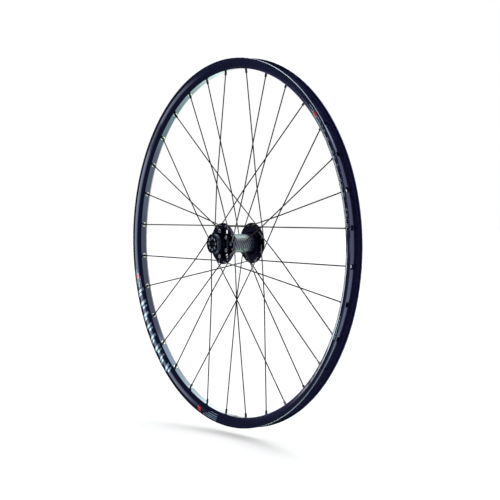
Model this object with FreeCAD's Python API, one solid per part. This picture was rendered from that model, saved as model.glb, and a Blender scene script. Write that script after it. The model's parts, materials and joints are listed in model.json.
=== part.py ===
import FreeCAD, Part
import math
import os

# Front wheel of a mountain bicycle, without its tyre: an aluminium double-wall rim, 32 crossed
# spokes with their nipples and eyelets, and a disc-brake hub on two cartridge bearings.
# Millimetres. The origin is the wheel's centre, on the rim's middle plane. The wheel spins
# about +Y, +Z is up, and the brake disc bolts on at the left, the -Y side.
# In an outline the first number is a radius from the spin axis and the second is a place
# along it. Places on the hub are counted outwards from the middle plane on either side.

V = FreeCAD.Vector
SPIN_AXIS = V(0, 1, 0)
LEFT, RIGHT = -1, 1

# ---- rim ------------------------------------------------------------------------------------
RIM_R = 318.0               # over the tyre hooks
RIM_WIDTH = 25.8            # over the side walls
RIM_DEPTH = 18.0            # hooks to spoke bed
HOOK_HEIGHT = 7.0           # hooks to bead seat, which leaves a 622 mm seat
HOOK_THICKNESS = 2.3
SIDE_WALL = 1.5
SIDE_CROWN_R = 16.0         # bulge of the side wall between bead seat and spoke bed
LIP_R = 0.8
BED_WIDTH = 10.4            # flat band that the spokes come out of
BED_WALL = 1.6
SHELF_WALL = 1.4            # under the bead seats and the well
WELL_WIDTH = 10.6           # channel that the tyre bead drops into
WELL_DEPTH = 2.5
HUMP_HEIGHT = 0.4           # ridge that keeps the bead on its seat
HUMP_WIDTH = 0.7
ACCESS_HOLE_R = 4.5         # in the well, to reach the nipples
VALVE_HOLE_R = 4.25
VALVE_ANGLE = 270.0         # the rim's welded or sleeved joint is opposite
SLEEVE_HALF_ANGLE = 3.8
SLEEVE_GAP = 0.1
SLEEVE_WALL = 1.6

# ---- spokes, nipples and eyelets ---------------------------------------------------------------
SPOKES = 32
CROSSES = 3
SPOKE_R = 1.0
BEND_R = 2.0                # middle line of the elbow
CROSS_BEND_R = 60.0         # middle line of the slight bend where two spokes press together
CROSS_GAP = 0.05
ELBOW_SINK = 0.25           # how far the elbow starts inside its hole
FLANGE_CLEARANCE = 0.15     # under the spokes that run out over the flange's edge
SPOKE_HEAD_R = 1.9
SPOKE_HEAD_T = 0.9
EYELET_R = 4.0
EYELET_T = 0.5
EYELET_BARREL = 0.4         # wall of the tube through the spoke bed
CLINCH_R = 3.3              # edge folded over inside the rim
CLINCH_T = 0.35
NIPPLE_R = 2.0
NIPPLE_FLATS = 3.4          # across the square that the spoke key turns
NIPPLE_LENGTH = 12.0
NIPPLE_HEAD_R = 3.0
NIPPLE_HEAD_T = 1.4
NIPPLE_PLAY = 0.35          # round the nipple in its eyelet, which lets it lean with the spoke
NIPPLE_SEAT_GAP = 0.65      # under the head, for the same lean
THREAD_PLAY = 0.03
EYELET_PLAY = 0.03          # between an eyelet and the spoke bed

# ---- hub shell ----------------------------------------------------------------------------------
AXLE_LENGTH = 100.0         # between the fork ends
DISC_OFFSET = 15.3          # fork end to the face that the brake disc bolts to
DISC_MOUNT_T = 6.2
DISC_MOUNT_R = 27.2
DISC_BOLTS = 6
DISC_CIRCLE_R = 22.0
DISC_BOLT_R = 2.5
DISC_BOLT_PHASE = 30.0
SCALLOP_CIRCLE_R = 28.0     # the hollows between the disc bolts
SCALLOP_R = 9.8
PILOT_R = 17.45             # centres the brake disc
PILOT_LENGTH = 2.0
FLANGE_T = 2.8
FLANGE_RIM = 4.4            # flange left outside the circle of spoke holes
FLANGE_EDGE_BEVEL = 0.8
RIGHT_FLANGE_OFFSET = 14.0  # right fork end to the outer face of the right flange
SPOKE_CIRCLE_R = 31.0
SPOKE_HOLE_R = 1.3
PORTS = 6                   # lightening holes through the left flange
PORT_CIRCLE_R = 23.5
PORT_R = 4.0
BARREL_R = 16.0
BARREL_WALL = 3.0
ROOT_FILLET = 1.6
FLARE_R = 18.8              # the barrel widens towards the right flange
FLARE_LENGTH = 8.0
BOSS_R = 16.9               # outside the bearings, at the open ends of the shell
LEFT_BOSS_LENGTH = 4.7      # beyond the disc's face
RIGHT_BOSS_LENGTH = 3.4     # beyond the right flange
BOSS_BEVEL = 0.5

# ---- axle, bearings and end caps ------------------------------------------------------------------
THRU_AXLE_R = 7.5
AXLE_R = 8.5
AXLE_SHOULDER_R = 9.6
BEARING_R = 15.0
BEARING_WIDTH = 7.0
RING_T = 1.9                # depth of either bearing ring
BALLS = 11
BALL_R = 2.0
BALL_PLAY = 0.08
CAGE_T = 1.2
CAGE_WIDTH = 5.0
CAGE_PLAY = 0.1
SHIELD_T = 0.6
SHIELD_INSET = 0.15
SHIELD_PLAY = 0.08
DUST_SEAL_T = 1.2
DUST_SEAL_GAP = 0.1
CAP_R = 17.3                # round head, inside the disc's seat so that a disc slides on over it
CAP_FACE_T = 7.0
CAP_FLATS = 4
CAP_FLAT_R = 16.3           # axis to each flat that pinches hold
CAP_NOTCHES = 8             # round pockets for the tool that draws the cap off
CAP_NOTCH_CIRCLE_R = 9.9
CAP_NOTCH_R = 1.5
CAP_NOTCH_DEPTH = 1.8
CAP_BEVEL = 0.8
CAP_COLLAR_R = 11.4         # behind the head, outside the dust seal
CAP_COLLAR_GAP = 1.0        # between the collar and the mouth of the shell
CAP_RECESS_WIDTH = 2.6      # ring-shaped hollow in the outer face
CAP_RECESS_DEPTH = 1.0
CAP_STEP = 3.8              # how far the axle tube stays inside the fork end
CAP_PLAY = 0.05
O_RING_WIDTH = 0.9
O_RING_DEPTH = 0.45
O_RING_PLAY = 0.02

# ---- places that follow from the sizes ---------------------------------------------------------------
BED_R = RIM_R - RIM_DEPTH
SEAT_R = RIM_R - HOOK_HEIGHT
WELL_R = SEAT_R - WELL_DEPTH
HALF_WIDTH = RIM_WIDTH / 2
HALF_BED = BED_WIDTH / 2
HALF_WELL = WELL_WIDTH / 2
SPOKE_PITCH = 360.0 / SPOKES
HUB_SWEEP = CROSSES * 2 * SPOKE_PITCH
FLANGE_R = SPOKE_CIRCLE_R + FLANGE_RIM
ELBOW_STANDOFF = BEND_R - ELBOW_SINK
END_FACE = AXLE_LENGTH / 2
DISC_FACE = END_FACE - DISC_OFFSET
FLANGE_OUT = {LEFT: DISC_FACE - DISC_MOUNT_T, RIGHT: END_FACE - RIGHT_FLANGE_OFFSET}
MOUTH = {LEFT: DISC_FACE + LEFT_BOSS_LENGTH, RIGHT: FLANGE_OUT[RIGHT] + RIGHT_BOSS_LENGTH}
BEARING_OUT = {side: MOUTH[side] - DUST_SEAL_T - DUST_SEAL_GAP for side in (LEFT, RIGHT)}
BEARING_IN = {side: BEARING_OUT[side] - BEARING_WIDTH for side in (LEFT, RIGHT)}
INNER_RING_R = AXLE_R + RING_T
OUTER_RING_R = BEARING_R - RING_T
PITCH_R = (INNER_RING_R + OUTER_RING_R) / 2
EYELET_BORE_R = NIPPLE_R + NIPPLE_PLAY
BED_HOLE_R = EYELET_BORE_R + EYELET_BARREL


# ---- helpers --------------------------------------------------------------------------------------
def is_arc(step):
    return isinstance(step[0], tuple)


def outline(start, *steps):
    """A closed face in the XY plane. A step is the next corner, or the middle and end of an arc."""
    edges = []
    here = V(*start, 0)
    for step in steps + (start,):
        if is_arc(step):
            middle, end = V(*step[0], 0), V(*step[1], 0)
            edges.append(Part.Arc(here, middle, end).toShape())
        else:
            end = V(*step, 0)
            edges.append(Part.LineSegment(here, end).toShape())
        here = end
    return Part.Face(Part.Wire(edges))


def both_sides(start, *steps):
    """The outline whose one half runs from start to the last step, both on the middle plane."""
    ends = [start] + [step[1] if is_arc(step) else step for step in steps]
    back = []
    for step, end in zip(reversed(steps), reversed(ends[:-1])):
        flipped = (end[0], -end[1])
        back.append(((step[0][0], -step[0][1]), flipped) if is_arc(step) else flipped)
    return outline(start, *steps, *back[:-1])


def turned(face, angle=360.0):
    return face.revolve(V(0, 0, 0), SPIN_AXIS, angle)


def on_side(side, *steps):
    """The same steps with every place along the axis put on the given side of the wheel."""
    flip = lambda corner: (corner[0], side * corner[1])
    return [tuple(flip(corner) for corner in step) if is_arc(step) else flip(step) for step in steps]


def washer(side, inner_r, outer_r, inner, outer):
    """A plain ring about the spin axis between two places on one side."""
    return turned(outline(*on_side(side, (inner_r, inner), (outer_r, inner), (outer_r, outer), (inner_r, outer))))


def around(angle, radius=1.0, along=0.0):
    """The point at a turn from +X towards +Z, a radius and a place along the spin axis."""
    turn = math.radians(angle)
    return V(radius * math.cos(turn), along, radius * math.sin(turn))


def ring_of_rods(count, circle_r, rod_r, start, end, phase=0.0):
    """Rods parallel to the spin axis, evenly round a circle."""
    low, length = min(start, end), abs(end - start)
    spots = [around(phase + 360.0 * i / count, circle_r, low) for i in range(count)]
    return [Part.makeCylinder(rod_r, length, spot, SPIN_AXIS) for spot in spots]


def radial_rod(angle, rod_r, inner, outer):
    return Part.makeCylinder(rod_r, outer - inner, around(angle, inner), around(angle))


def aimed(shape, place, direction):
    """A copy of a shape drawn up the Z axis, moved to a place and turned to a direction."""
    copy = shape.copy()
    copy.Placement = FreeCAD.Placement(place, FreeCAD.Rotation(V(0, 0, 1), direction)) * copy.Placement
    return copy


def spun(shape, angle):
    """A copy turned about the spin axis, from +X towards +Z."""
    copy = shape.copy()
    copy.rotate(V(0, 0, 0), SPIN_AXIS, -angle)
    return copy


# ---- rim ---------------------------------------------------------------------------------------------
def crown_centre():
    """Centre of the arc that joins the spoke bed's edge to the bead seat's level."""
    rise, spread = SEAT_R - BED_R, HALF_WIDTH - HALF_BED
    chord = math.hypot(rise, spread)
    reach = math.sqrt(SIDE_CROWN_R**2 - (chord / 2) ** 2)
    middle = ((SEAT_R + BED_R) / 2, (HALF_WIDTH + HALF_BED) / 2)
    return middle[0] + reach * spread / chord, middle[1] - reach * rise / chord


def on_crown(radius, crown_r):
    """The point of an arc about the crown's centre at a radius from the spin axis."""
    centre = crown_centre()
    return radius, centre[1] + math.sqrt(crown_r**2 - (radius - centre[0]) ** 2)


def cavity(inset):
    """The hollow between spoke bed and well, drawn inset from its walls."""
    crown_r = SIDE_CROWN_R - SIDE_WALL - inset
    low, shelf = BED_R + BED_WALL + inset, SEAT_R - SHELF_WALL - inset
    roof = WELL_R - SHELF_WALL - inset
    well_edge = HALF_WELL + SIDE_WALL + inset
    slope = HUMP_WIDTH
    return both_sides(
        (low, 0),
        on_crown(low, crown_r),
        (on_crown((low + shelf) / 2, crown_r), on_crown(shelf, crown_r)),
        (shelf, well_edge + slope),
        (roof, well_edge),
        (roof, 0),
    )


def rim_section():
    hook_in = HALF_WIDTH - HOOK_THICKNESS
    wall_in = HALF_WIDTH - SIDE_WALL
    recess = HOOK_THICKNESS - SIDE_WALL
    bend = LIP_R * (1 - math.sqrt(0.5))
    hump_in = HALF_WELL + HUMP_WIDTH
    hump_out = hump_in + HUMP_WIDTH
    return both_sides(
        (BED_R, 0),
        (BED_R, HALF_BED),
        (on_crown((BED_R + SEAT_R) / 2, SIDE_CROWN_R), (SEAT_R, HALF_WIDTH)),
        (RIM_R - LIP_R, HALF_WIDTH),
        ((RIM_R - bend, HALF_WIDTH - bend), (RIM_R, HALF_WIDTH - LIP_R)),
        (RIM_R, hook_in + LIP_R / 2),
        (RIM_R - LIP_R / 2, hook_in),
        (RIM_R - 2 * LIP_R, hook_in),
        (RIM_R - 2 * LIP_R - recess, wall_in),
        (SEAT_R + SIDE_WALL, wall_in),
        (SEAT_R, wall_in - SIDE_WALL),
        (SEAT_R, hump_out + HUMP_WIDTH / 2),
        (SEAT_R + HUMP_HEIGHT, hump_out),
        (SEAT_R + HUMP_HEIGHT, hump_in),
        (WELL_R, HALF_WELL),
        (WELL_R, 0),
    )


def rim_hole_angle(k):
    return VALVE_ANGLE + (k - 1.5) * SPOKE_PITCH


def make_rim():
    rim = turned(rim_section()).cut(turned(cavity(0)))
    cuts = [radial_rod(VALVE_ANGLE, VALVE_HOLE_R, BED_R - BED_WALL, SEAT_R + HUMP_HEIGHT)]
    for k in range(SPOKES):
        cuts.append(radial_rod(rim_hole_angle(k), BED_HOLE_R, BED_R - BED_WALL, BED_R + 2 * BED_WALL))
        cuts.append(radial_rod(rim_hole_angle(k), ACCESS_HOLE_R, WELL_R - 2 * SHELF_WALL, SEAT_R))
    return rim.cut(cuts)


def make_sleeve():
    """The hollow slug inside the rim that pins its two ends together, opposite the valve."""
    floor = BED_R + BED_WALL + SLEEVE_GAP + SLEEVE_WALL
    roof = WELL_R - SHELF_WALL - SLEEVE_GAP - SLEEVE_WALL
    hollow = both_sides((floor, 0), (floor, HALF_BED - SLEEVE_WALL), (roof, HALF_BED - SLEEVE_WALL), (roof, 0))
    sleeve = turned(cavity(SLEEVE_GAP).cut(hollow), 2 * SLEEVE_HALF_ANGLE)
    return spun(sleeve, VALVE_ANGLE - 180.0 + SLEEVE_HALF_ANGLE)


def make_eyelets():
    """Pressed ferrules that line the spoke bed's holes, flanged outside and clinched inside."""
    top = BED_WALL + 2 * EYELET_PLAY
    section = outline(
        (EYELET_BORE_R, -EYELET_T),
        (EYELET_R - EYELET_T, -EYELET_T),
        (EYELET_R, -EYELET_PLAY - EYELET_T / 4),
        (EYELET_R, -EYELET_PLAY),
        (BED_HOLE_R - EYELET_PLAY, -EYELET_PLAY),
        (BED_HOLE_R - EYELET_PLAY, top),
        (CLINCH_R, top),
        (CLINCH_R, top + CLINCH_T),
        (EYELET_BORE_R, top + CLINCH_T),
    )
    eyelet = section.revolve(V(0, 0, 0), V(0, 1, 0), 360)
    eyelet.rotate(V(0, 0, 0), V(1, 0, 0), 90)
    return [aimed(eyelet, around(rim_hole_angle(k), BED_R), around(rim_hole_angle(k))) for k in range(SPOKES)]


# ---- spokes -----------------------------------------------------------------------------------------
def lacing(k):
    """Which flange a spoke hooks into, and its lean: leading spokes bend outside the flange."""
    side = LEFT if k % 2 == 0 else RIGHT
    lean = 1 if k % 4 < 2 else -1
    return side, lean


def hub_hole_angle(k):
    return rim_hole_angle(k) - lacing(k)[1] * HUB_SWEEP


def elbow_place(side, lean):
    """Where along the axis a spoke's middle line turns, outside or inside its flange."""
    if lean > 0:
        return side * (FLANGE_OUT[side] + ELBOW_STANDOFF)
    return side * (FLANGE_OUT[side] - FLANGE_T - ELBOW_STANDOFF)


def bend_between(before, corner, after, radius):
    """The start, centre, axis and turn of the arc that rounds a corner, and the arc's end."""
    come = (corner - before).normalize()
    leave = (after - corner).normalize()
    turn = come.getAngle(leave)
    axis = come.cross(leave).normalize()
    start = corner - come * (radius * math.tan(turn / 2))
    centre = start + axis.cross(come) * radius
    end = corner + leave * (radius * math.tan(turn / 2))
    return start, centre, axis, math.degrees(turn), end


def rod_between(start, end, radius):
    return Part.makeCylinder(radius, (end - start).Length, start, end - start)


def wire_along(points, bend_radii, wire_r):
    """Round wire that runs straight between the points and bends at each one between the ends."""
    pieces = []
    here = points[0]
    for before, corner, after, radius in zip(points, points[1:], points[2:], bend_radii):
        start, centre, axis, turn, end = bend_between(before, corner, after, radius)
        pieces.append(rod_between(here, start, wire_r))
        disc = Part.Face(Part.Wire(Part.makeCircle(wire_r, start, corner - before)))
        pieces.append(disc.revolve(centre, axis, turn))
        here = end
    pieces.append(rod_between(here, points[-1], wire_r))
    return pieces


def spoke_route(k):
    """Head seat, elbow, last crossing, rim hole and threaded end of one spoke's middle line."""
    side, lean = lacing(k)
    hub_angle, rim_angle = hub_hole_angle(k), rim_hole_angle(k)
    elbow_y, partner_y = elbow_place(side, lean), elbow_place(side, -lean)
    elbow = around(hub_angle, SPOKE_CIRCLE_R, elbow_y)
    rim_point = around(rim_angle, BED_R + BED_WALL / 2)
    # the partner spoke goes to the next hole of this flange, so they meet half way between
    meeting = around(rim_angle - lean * SPOKE_PITCH)
    flat = V(rim_point.x - elbow.x, 0, rim_point.z - elbow.z)
    share = (elbow.z * meeting.x - elbow.x * meeting.z) / (flat.x * meeting.z - flat.z * meeting.x)
    middle_y = (elbow_y + partner_y) / 2 * (1 - share)
    # the spoke that leaves outside its flange passes inside at this crossing, and the other way round
    crossing_y = middle_y - side * lean * (SPOKE_R + CROSS_GAP / 2)
    crossing = V(elbow.x + share * flat.x, crossing_y, elbow.z + share * flat.z)
    face = FLANGE_OUT[side] - FLANGE_T if lean > 0 else FLANGE_OUT[side]
    head_seat = around(hub_angle, SPOKE_CIRCLE_R, side * (face - lean * CROSS_GAP))
    along = (rim_point - crossing).normalize()
    thread_end = rim_point + along * (nipple_head_base() + NIPPLE_HEAD_T - SPOKE_R)
    return head_seat, elbow, crossing, rim_point, thread_end, along


def make_spoke(k):
    side, lean = lacing(k)
    head_seat, elbow, crossing, rim_point, thread_end, along = spoke_route(k)
    outwards = V(0, -side * lean, 0)
    pieces = wire_along([head_seat, elbow, crossing, thread_end], [BEND_R, CROSS_BEND_R], SPOKE_R)
    half = SPOKE_HEAD_T / 2
    pieces.append(Part.makeCylinder(SPOKE_HEAD_R, half, head_seat, outwards))
    pieces.append(Part.makeCone(SPOKE_HEAD_R, SPOKE_R, half, head_seat + outwards * half, outwards))
    return pieces[0].multiFuse(pieces[1:]).removeSplitter()


def nipple_head_base():
    """Start of the nipple's conical head, from the middle of the spoke bed's wall."""
    return BED_WALL / 2 + 2 * EYELET_PLAY + CLINCH_T - NIPPLE_PLAY + NIPPLE_SEAT_GAP


def make_nipple():
    """One nipple up the Z axis, its origin at the middle of the spoke bed's wall."""
    head = nipple_head_base()
    cone = NIPPLE_HEAD_R - NIPPLE_R
    foot = head + cone + NIPPLE_HEAD_T - NIPPLE_LENGTH
    round_end = -BED_WALL / 2 - EYELET_T
    body = Part.makeCylinder(NIPPLE_R, head - foot, V(0, 0, foot))
    square = Part.makeBox(NIPPLE_FLATS, NIPPLE_FLATS, round_end - foot, V(-NIPPLE_FLATS / 2, -NIPPLE_FLATS / 2, foot))
    collar = Part.makeCylinder(NIPPLE_R, head - round_end, V(0, 0, round_end))
    body = body.common(square).fuse(collar)
    body = body.fuse(Part.makeCone(NIPPLE_R, NIPPLE_HEAD_R, cone, V(0, 0, head)))
    body = body.fuse(Part.makeCylinder(NIPPLE_HEAD_R, NIPPLE_HEAD_T, V(0, 0, head + cone)))
    bore = Part.makeCylinder(SPOKE_R + THREAD_PLAY, NIPPLE_LENGTH, V(0, 0, foot))
    return body.cut(bore).removeSplitter()


def make_nipples(side):
    nipple = make_nipple()
    nipples = []
    for k in range(SPOKES):
        if lacing(k)[0] == side:
            rim_point, along = spoke_route(k)[3], spoke_route(k)[5]
            nipples.append(aimed(nipple, rim_point, along))
    return nipples


# ---- hub shell ----------------------------------------------------------------------------------------
def spoke_height_at_edge(side):
    """How far out the underside of the outboard spokes is where they pass the flange's edge."""
    elbow, crossing = spoke_route(0 if side == LEFT else 1)[1:3]
    run = math.hypot(crossing.x - elbow.x, crossing.z - elbow.z)
    axis_distance = abs(elbow.x * crossing.z - elbow.z * crossing.x) / run
    to_edge = math.sqrt(FLANGE_R**2 - axis_distance**2) - math.sqrt(SPOKE_CIRCLE_R**2 - axis_distance**2)
    slope = abs(elbow.y - crossing.y) / run
    return abs(elbow.y) - slope * to_edge - SPOKE_R * math.hypot(1, slope)


def flange_corners(side):
    """The flange from its inner face to its outer face, with its outer edge bevelled for the spokes."""
    outer, inner = FLANGE_OUT[side], FLANGE_OUT[side] - FLANGE_T
    edge = min(outer - FLANGE_EDGE_BEVEL, spoke_height_at_edge(side) - FLANGE_CLEARANCE)
    return [
        (FLANGE_R - FLANGE_EDGE_BEVEL, inner),
        (FLANGE_R, inner + FLANGE_EDGE_BEVEL),
        (FLANGE_R, edge),
        (SPOKE_CIRCLE_R + SPOKE_R, outer),
    ]


def root(side, radius):
    """The quarter round between the barrel and a flange's inner face."""
    face = FLANGE_OUT[side] - FLANGE_T
    bend = ROOT_FILLET * (1 - math.sqrt(0.5))
    return (radius + bend, face - bend), (radius + ROOT_FILLET, face)


def shell_section():
    """Half the hub shell cut along its axis, from the left mouth round to the right and back inside."""
    bore_r = BARREL_R - BARREL_WALL
    left_outside = [
        (BEARING_R, MOUTH[LEFT]),
        (BOSS_R - BOSS_BEVEL, MOUTH[LEFT]),
        (BOSS_R, MOUTH[LEFT] - BOSS_BEVEL),
        (BOSS_R, DISC_FACE + PILOT_LENGTH + PILOT_R - BOSS_R),
        (PILOT_R, DISC_FACE + PILOT_LENGTH),
        (PILOT_R, FLANGE_OUT[LEFT]),
    ]
    left = on_side(LEFT, *left_outside, *reversed(flange_corners(LEFT)))
    left_root = [(BARREL_R + ROOT_FILLET, FLANGE_OUT[LEFT] - FLANGE_T)]
    left_root.append((root(LEFT, BARREL_R)[0], (BARREL_R, FLANGE_OUT[LEFT] - FLANGE_T - ROOT_FILLET)))
    right_face = FLANGE_OUT[RIGHT] - FLANGE_T
    right = [
        (BARREL_R, right_face - FLARE_LENGTH),
        (FLARE_R, right_face - ROOT_FILLET),
        root(RIGHT, FLARE_R),
        *flange_corners(RIGHT),
        (BOSS_R, FLANGE_OUT[RIGHT]),
        (BOSS_R, MOUTH[RIGHT] - BOSS_BEVEL),
        (BOSS_R - BOSS_BEVEL, MOUTH[RIGHT]),
        (BEARING_R, MOUTH[RIGHT]),
        (BEARING_R, BEARING_IN[RIGHT]),
        (bore_r, BEARING_IN[RIGHT]),
    ]
    inside = on_side(LEFT, (bore_r, BEARING_IN[LEFT]), (BEARING_R, BEARING_IN[LEFT]))
    return outline(*left, *on_side(LEFT, *left_root), *right, *inside)


def make_disc_mount():
    """The six-lobed pad that the brake disc bolts to."""
    start, end = -DISC_FACE, -FLANGE_OUT[LEFT]
    pad = Part.makeCylinder(DISC_MOUNT_R, end - start, V(0, start, 0), SPIN_AXIS)
    pad = pad.cut(Part.makeCylinder(BEARING_R, end - start, V(0, start, 0), SPIN_AXIS))
    scallop_phase = DISC_BOLT_PHASE + 180.0 / DISC_BOLTS
    return pad.cut(ring_of_rods(DISC_BOLTS, SCALLOP_CIRCLE_R, SCALLOP_R, start, end, scallop_phase))


def make_hub_shell():
    shell = turned(shell_section()).fuse(make_disc_mount())
    left_in = -FLANGE_OUT[LEFT] + FLANGE_T
    cuts = ring_of_rods(DISC_BOLTS, DISC_CIRCLE_R, DISC_BOLT_R, -DISC_FACE, left_in, DISC_BOLT_PHASE)
    cuts += ring_of_rods(PORTS, PORT_CIRCLE_R, PORT_R, -FLANGE_OUT[LEFT], left_in)
    for k in range(SPOKES):
        side = lacing(k)[0]
        foot = around(hub_hole_angle(k), SPOKE_CIRCLE_R, side * (FLANGE_OUT[side] - FLANGE_T))
        cuts.append(Part.makeCylinder(SPOKE_HOLE_R, FLANGE_T, foot, V(0, side, 0)))
    return shell.cut(cuts).removeSplitter()


# ---- bearings --------------------------------------------------------------------------------------------
def bearing_middle(side):
    return (BEARING_IN[side] + BEARING_OUT[side]) / 2


def make_bearing_ring(side, bore_r, outer_r, track_r):
    """A ring with a ball track on the surface that faces the balls."""
    groove_r = BALL_R + BALL_PLAY
    middle = bearing_middle(side)
    half = math.sqrt(groove_r**2 - (PITCH_R - track_r) ** 2)
    inner, outer = BEARING_IN[side], BEARING_OUT[side]
    back_r = bore_r if track_r == outer_r else outer_r
    deepest = PITCH_R - groove_r if track_r < PITCH_R else PITCH_R + groove_r
    steps = on_side(
        side,
        (back_r, inner),
        (track_r, inner),
        (track_r, middle - half),
        ((deepest, middle), (track_r, middle + half)),
        (track_r, outer),
        (back_r, outer),
    )
    return turned(outline(*steps))


def make_balls(side):
    spots = [around(360.0 * i / BALLS, PITCH_R, side * bearing_middle(side)) for i in range(BALLS)]
    return [Part.makeSphere(BALL_R, spot) for spot in spots]


def make_cage(side):
    """The band between the rings, with a round pocket for each ball."""
    middle = bearing_middle(side)
    band = washer(side, PITCH_R - CAGE_T / 2, PITCH_R + CAGE_T / 2, middle - CAGE_WIDTH / 2, middle + CAGE_WIDTH / 2)
    pockets = []
    for i in range(BALLS):
        start = around(360.0 * i / BALLS, PITCH_R - CAGE_T, side * middle)
        pockets.append(Part.makeCylinder(BALL_R + CAGE_PLAY, 2 * CAGE_T, start, around(360.0 * i / BALLS)))
    return band.cut(pockets)


def make_shields(side):
    """The two rubber-faced washers that close a bearing, held by its outer ring."""
    inner_r, outer_r = INNER_RING_R + SHIELD_PLAY, OUTER_RING_R - SHIELD_PLAY / 2
    low, high = BEARING_IN[side] + SHIELD_INSET, BEARING_OUT[side] - SHIELD_INSET
    return [
        washer(side, inner_r, outer_r, low, low + SHIELD_T),
        washer(side, inner_r, outer_r, high - SHIELD_T, high),
    ]


# ---- axle and end caps --------------------------------------------------------------------------------------
def o_ring_places():
    """The groove near each end of the axle tube, from its inner to its outer edge."""
    middle = END_FACE - CAP_STEP - 2 * O_RING_WIDTH
    return middle - O_RING_WIDTH / 2, middle + O_RING_WIDTH / 2


def make_axle_tube():
    end = END_FACE - CAP_STEP
    low, high = o_ring_places()
    groove_r = AXLE_R - O_RING_DEPTH
    half = [
        (AXLE_R, BEARING_IN[RIGHT]),
        (AXLE_R, low - O_RING_PLAY),
        (groove_r, low - O_RING_PLAY),
        (groove_r, high + O_RING_PLAY),
        (AXLE_R, high + O_RING_PLAY),
        (AXLE_R, end),
        (THRU_AXLE_R, end),
    ]
    left_half = [(AXLE_R, BEARING_IN[LEFT])] + half[1:]
    right_steps = [(AXLE_SHOULDER_R, BEARING_IN[RIGHT])] + half
    left_steps = on_side(LEFT, *reversed([(AXLE_SHOULDER_R, BEARING_IN[LEFT])] + left_half))
    return turned(outline(*right_steps, *left_steps))


def make_o_ring(side):
    low, high = o_ring_places()
    return washer(side, AXLE_R - O_RING_DEPTH + O_RING_PLAY, AXLE_R + CAP_PLAY - O_RING_PLAY, low, high)


def make_dust_seal(side):
    return washer(side, INNER_RING_R + 2 * SHIELD_PLAY, BEARING_R - O_RING_PLAY, BEARING_OUT[side] + DUST_SEAL_GAP,
                  BEARING_OUT[side] + DUST_SEAL_GAP + DUST_SEAL_T - O_RING_PLAY)


def cap_flats(start, end):
    """Blocks that cut the flats on an end cap's round head between two planes."""
    blocks = []
    for i in range(CAP_FLATS):
        block = Part.makeBox(CAP_R, abs(end - start), 2 * CAP_R, V(CAP_FLAT_R, min(start, end), -CAP_R))
        block.rotate(V(0, 0, 0), SPIN_AXIS, 360.0 * i / CAP_FLATS)
        blocks.append(block)
    return blocks


def make_end_cap(side):
    """Pushes over the axle's end: a neck on the bearing's inner ring and a flatted head in the fork end."""
    head = END_FACE - CAP_FACE_T
    socket_r = AXLE_R + CAP_PLAY
    recess_out = CAP_FLAT_R - CAP_BEVEL
    recess_in = recess_out - CAP_RECESS_WIDTH
    steps = on_side(
        side,
        (socket_r, BEARING_OUT[side]),
        (INNER_RING_R, BEARING_OUT[side]),
        (INNER_RING_R, MOUTH[side] + CAP_COLLAR_GAP),
        (CAP_COLLAR_R, MOUTH[side] + CAP_COLLAR_GAP),
        (CAP_COLLAR_R, head),
        (CAP_R - CAP_BEVEL, head),
        (CAP_R, head + CAP_BEVEL),
        (CAP_R, END_FACE - CAP_BEVEL),
        (CAP_R - CAP_BEVEL, END_FACE),
        (recess_out, END_FACE),
        (recess_out, END_FACE - CAP_RECESS_DEPTH),
        (recess_in, END_FACE - CAP_RECESS_DEPTH),
        (recess_in, END_FACE),
        (THRU_AXLE_R, END_FACE),
        (THRU_AXLE_R, END_FACE - CAP_STEP + CAP_PLAY),
        (socket_r, END_FACE - CAP_STEP + CAP_PLAY),
    )
    cuts = cap_flats(side * head, side * END_FACE)
    floor = side * (END_FACE - CAP_NOTCH_DEPTH)
    cuts += ring_of_rods(CAP_NOTCHES, CAP_NOTCH_CIRCLE_R, CAP_NOTCH_R, floor, side * END_FACE)
    return turned(outline(*steps)).cut(cuts)


# ---- writing the parts ----------------------------------------------------------------------------------------
def spokes_of(side, lean):
    return [make_spoke(k) for k in range(SPOKES) if lacing(k) == (side, lean)]


def all_parts():
    parts = {
        "rim": [make_rim()],
        "rim_joint_sleeve": [make_sleeve()],
        "rim_eyelets": make_eyelets(),
        "hub_shell": [make_hub_shell()],
        "axle_tube": [make_axle_tube()],
    }
    for name, side in (("left", LEFT), ("right", RIGHT)):
        parts[f"{name}_leading_spokes"] = spokes_of(side, 1)
        parts[f"{name}_trailing_spokes"] = spokes_of(side, -1)
        parts[f"{name}_nipples"] = make_nipples(side)
        parts[f"{name}_bearing_outer_ring"] = [make_bearing_ring(side, OUTER_RING_R, BEARING_R, OUTER_RING_R)]
        parts[f"{name}_bearing_inner_ring"] = [make_bearing_ring(side, AXLE_R, INNER_RING_R, INNER_RING_R)]
        parts[f"{name}_bearing_balls"] = make_balls(side)
        parts[f"{name}_bearing_cage"] = [make_cage(side)]
        parts[f"{name}_bearing_shields"] = make_shields(side)
        parts[f"{name}_dust_seal"] = [make_dust_seal(side)]
        parts[f"{name}_end_cap"] = [make_end_cap(side)]
        parts[f"{name}_cap_o_ring"] = [make_o_ring(side)]
    return parts


def main():
    os.makedirs("parts", exist_ok=True)
    for name, solids in all_parts().items():
        shape = solids[0] if len(solids) == 1 else Part.makeCompound(solids)
        shape.exportStep(f"parts/{name}.step")
        print(f"{name}: {len(shape.Solids)} solids, {shape.Volume:.1f} mm3, valid {shape.isValid()}")


main()
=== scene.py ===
import json
import math

import bmesh
import bpy
from bpy.props import FloatProperty, FloatVectorProperty, IntProperty, PointerProperty
from mathutils import Matrix, Vector


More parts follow.
